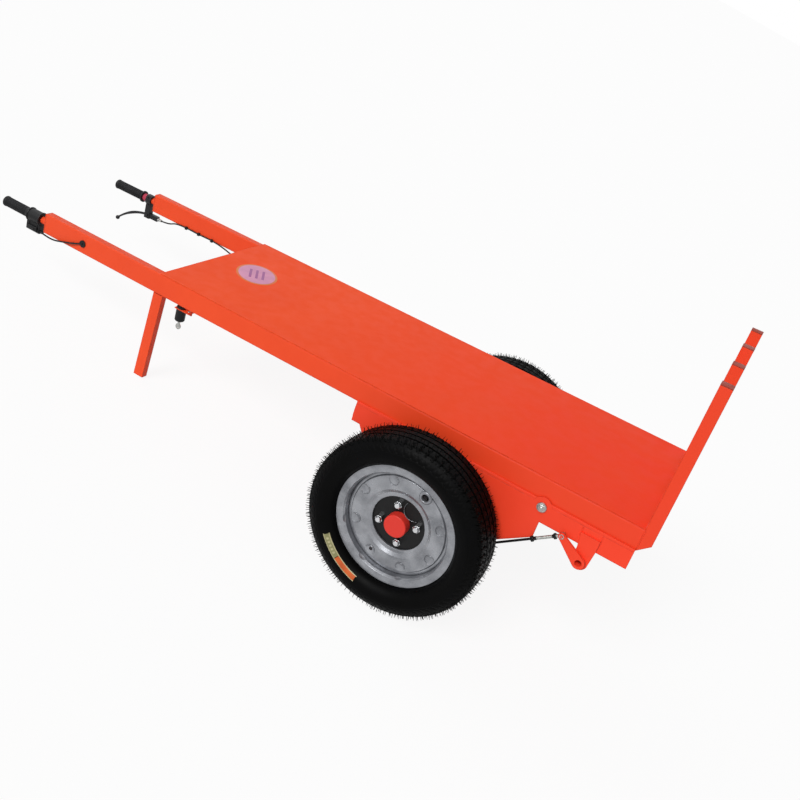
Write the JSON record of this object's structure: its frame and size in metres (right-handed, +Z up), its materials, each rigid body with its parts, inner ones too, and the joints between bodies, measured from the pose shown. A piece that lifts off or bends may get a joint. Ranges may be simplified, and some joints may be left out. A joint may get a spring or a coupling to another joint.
{
  "type": "brick cart",
  "caption": "Two-wheeled powered brick cart: flat deck on tube rails with front tines, hinged on an axle chassis, with rear handles, twist throttle, hand brake lever and prop legs.",
  "frame": {"origin": "centre of the overall box on the floor, with the cart standing on its tyres and legs", "axes": "+X forward to the tines, +Y to the operator's left hand, +Z up"},
  "size_m": [2.1506, 0.8322, 1.0301],
  "materials": {
    "frame_paint": "semi gloss orange",
    "chassis_paint": "semi gloss orange red",
    "black_rubber": "matt",
    "black_plastic": "matt",
    "zinc_steel": "zinc plated",
    "nut_chrome": "polished",
    "rim_silver": "silver paint",
    "tyre_rubber": "satin",
    "drum_iron": "black paint",
    "cap_red": "gloss",
    "axle_paint": "satin black",
    "motor_aluminium": "as cast",
    "lining": "matt"
  },
  "bodies": {
    "chassis": {"chassis_side_right": "chassis_paint", "chassis_side_left": "chassis_paint", "rest_tube": "chassis_paint", "rest_pads": "black_rubber", "chassis_tray": "chassis_paint", "battery_box": "black_plastic", "battery_lid": "black_plastic", "battery_pack": "black_plastic", "motor_controller": "motor_aluminium", "axle_housing": "axle_paint", "drive_motor": "motor_aluminium", "hinge_pins": "zinc_steel", "brake_back_plates": "zinc_steel", "brake_shoes": "lining", "shaft_brackets": "chassis_paint"},
    "deck": {"rail_right": "frame_paint", "rail_left": "frame_paint", "deck_sheet": "frame_paint", "cross_members": "frame_paint", "tine_outer_right": "frame_paint", "tine_inner_right": "frame_paint", "tine_inner_left": "frame_paint", "tine_outer_left": "frame_paint", "leg_right": "frame_paint", "leg_left": "frame_paint", "handle_bar_right": "frame_paint", "handle_bar_left": "frame_paint", "grip_left": "black_rubber", "throttle_housing": "black_plastic", "throttle_cable": "black_plastic", "grommets": "black_rubber", "brake_perch": "axle_paint", "barrel_adjuster": "zinc_steel", "brake_cable": "black_plastic", "cable_clips": "black_plastic", "key_bracket": "frame_paint", "key_switch": "black_plastic", "hinge_lugs": "frame_paint"},
    "throttle": {"throttle_grip": "black_rubber"},
    "hand_lever": {"brake_lever": "axle_paint"},
    "key": {"ignition_key": "zinc_steel"},
    "wheel_right": {"wheel_rim_right": "rim_silver", "tyre_right": "tyre_rubber", "hub_drum_right": "drum_iron", "half_shaft_right": "zinc_steel", "stud_nuts_right": "nut_chrome", "hub_cap_right": "cap_red", "valve_stem_right": "black_rubber"},
    "wheel_left": {"wheel_rim_left": "rim_silver", "tyre_left": "tyre_rubber", "hub_drum_left": "drum_iron", "half_shaft_left": "zinc_steel", "stud_nuts_left": "nut_chrome", "hub_cap_left": "cap_red", "valve_stem_left": "black_rubber"},
    "brake_shaft": {"brake_cross_shaft": "chassis_paint"},
    "rod_right": {"brake_rod_right": "zinc_steel"},
    "rod_left": {"brake_rod_left": "zinc_steel"},
    "cam_right": {"cam_lever_right": "zinc_steel"},
    "cam_left": {"cam_lever_left": "zinc_steel"}
  },
  "joints": [
    {"name": "deck_tilt", "type": "hinge", "parent": "chassis", "child": "deck", "pos_m": [0.81361, 0, 0.50524], "axis": [0, 1, 0], "range_deg": [0, 30]},
    {"name": "wheel_right_spin", "type": "hinge", "parent": "chassis", "child": "wheel_right", "pos_m": [0.54494, -0.348, 0.254], "axis": [0, 1, 0], "continuous": true},
    {"name": "wheel_left_spin", "type": "hinge", "parent": "chassis", "child": "wheel_left", "pos_m": [0.54494, 0.348, 0.254], "axis": [0, 1, 0], "continuous": true},
    {"name": "throttle_twist", "type": "hinge", "parent": "deck", "child": "throttle", "pos_m": [-1.02311, -0.25, 0.20865], "axis": [0.9832, 0, 0.1824], "range_deg": [0, 55], "stiffness_Nm_per_rad": 0.3, "springref_deg": -17.19},
    {"name": "brake_lever_pull", "type": "hinge", "parent": "deck", "child": "hand_lever", "pos_m": [-0.90867, 0.25, 0.17293], "axis": [0, 1, 0], "range_deg": [0, 22], "stiffness_Nm_per_rad": 2, "springref_deg": -28.65},
    {"name": "key_turn", "type": "hinge", "parent": "deck", "child": "key", "pos_m": [-0.34078, -0.25, 0.24221], "axis": [-0.1824, 0, 0.9832], "range_deg": [0, 90]},
    {"name": "brake_shaft_turn", "type": "hinge", "parent": "chassis", "child": "brake_shaft", "pos_m": [0.96498, 0, 0.44586], "axis": [0, 1, 0], "range_deg": [0, 7.05]},
    {"name": "rod_right_swing", "type": "hinge", "parent": "brake_shaft", "child": "rod_right", "pos_m": [0.89483, -0.276, 0.47861], "axis": [0, 1, 0], "range_deg": [-7.3, 0]},
    {"name": "rod_left_swing", "type": "hinge", "parent": "brake_shaft", "child": "rod_left", "pos_m": [0.89483, 0.276, 0.47861], "axis": [0, 1, 0], "range_deg": [-7.3, 0]},
    {"name": "cam_right_turn", "type": "hinge", "parent": "chassis", "child": "cam_right", "pos_m": [0.61469, -0.291, 0.26006], "axis": [0, 1, 0], "range_deg": [-7.85, 0]},
    {"name": "cam_left_turn", "type": "hinge", "parent": "chassis", "child": "cam_left", "pos_m": [0.61469, 0.291, 0.26006], "axis": [0, 1, 0], "range_deg": [-7.85, 0]}
  ],
  "couplings": [
    {"joint": "brake_shaft_turn", "follows": "brake_lever_pull", "ratio": 0.31818},
    {"joint": "rod_right_swing", "follows": "brake_lever_pull", "ratio": -0.32874},
    {"joint": "rod_left_swing", "follows": "brake_lever_pull", "ratio": -0.32874},
    {"joint": "cam_right_turn", "follows": "brake_lever_pull", "ratio": -0.35468},
    {"joint": "cam_left_turn", "follows": "brake_lever_pull", "ratio": -0.35468}
  ]
}
